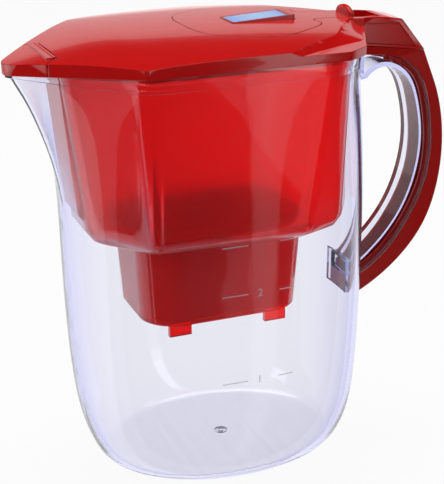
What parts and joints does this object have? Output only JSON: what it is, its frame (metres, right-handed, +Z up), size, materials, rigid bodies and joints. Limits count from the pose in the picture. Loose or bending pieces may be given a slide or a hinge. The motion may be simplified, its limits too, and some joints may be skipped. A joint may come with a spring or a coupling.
{
  "type": "water filter pitcher",
  "caption": "Clear pitcher with a hanging red hopper that holds a filter cartridge, a flat lid with a hinged fill flap, a spout flap and a covered loop handle.",
  "frame": {"origin": "on the surface the jug stands on, below the middle of its overall box", "axes": "+X from the spout to the handle, +Y to the far side seen with the spout on the left, +Z up"},
  "size_m": [0.2619, 0.146, 0.2604],
  "materials": {
    "clear_jug": "clear glossy moulded plastic",
    "cover_red": "glossy red plastic",
    "hopper_red": "translucent red plastic",
    "lid_red": "glossy red plastic",
    "housing_red": "glossy dark red plastic",
    "pin_steel": "drawn wire",
    "window_clear": "clear plastic window",
    "display_blue": "liquid crystal display",
    "board_green": "circuit board",
    "cell_steel": "nickel plated",
    "contact_steel": "spring strip",
    "battery_cover_plastic": "fine matt",
    "button_rubber": "soft touch",
    "cartridge_plastic": "white plastic",
    "cap_plastic": "white plastic",
    "seal_rubber": "soft seal",
    "felt": "pressed felt",
    "media": "packed granules",
    "screen_plastic": "fine moulded screen"
  },
  "bodies": {
    "jug": {"jug_body": "clear_jug", "handle_cover": "cover_red"},
    "hopper": {"hopper": "hopper_red"},
    "lid": {"lid_shell": "lid_red", "flap_hinge_pin": "pin_steel", "spout_hinge_pin": "pin_steel"},
    "fill_flap": {"fill_flap": "lid_red", "indicator_housing": "housing_red", "indicator_window": "window_clear", "indicator_display": "display_blue", "circuit_board": "board_green", "button_cell": "cell_steel", "cell_contact_top": "contact_steel", "cell_contact_bottom": "contact_steel", "battery_cover": "battery_cover_plastic"},
    "spout_flap": {"spout_flap": "lid_red"},
    "cartridge": {"cartridge_shell": "cartridge_plastic", "cartridge_cap": "cap_plastic", "cartridge_seal": "seal_rubber", "upper_felt_pad": "felt", "filter_media": "media", "lower_felt_pad": "felt", "outlet_screen": "screen_plastic"},
    "reset_button": {"reset_button": "button_rubber"}
  },
  "joints": [
    {"name": "hopper_lift", "type": "slide", "parent": "jug", "child": "hopper", "axis": [0, 0, 1], "range_m": [0, 0.165]},
    {"name": "lid_lift", "type": "slide", "parent": "hopper", "child": "lid", "axis": [0, 0, 1], "range_m": [0, 0.05]},
    {"name": "cartridge_lift", "type": "slide", "parent": "hopper", "child": "cartridge", "axis": [0, 0, 1], "range_m": [0, 0.06]},
    {"name": "fill_flap_hinge", "type": "hinge", "parent": "lid", "child": "fill_flap", "pos_m": [0.0705, 0, 0.2517], "axis": [0, 1, 0], "range_deg": [0, 70]},
    {"name": "spout_flap_hinge", "type": "hinge", "parent": "lid", "child": "spout_flap", "pos_m": [-0.1074, 0, 0.2483], "axis": [0, 1, 0], "range_deg": [0, 70]},
    {"name": "reset_button_press", "type": "slide", "parent": "fill_flap", "child": "reset_button", "axis": [-0.0488, 0, 0.9988], "range_m": [0, 0.0005], "stiffness_N_per_m": 600}
  ]
}
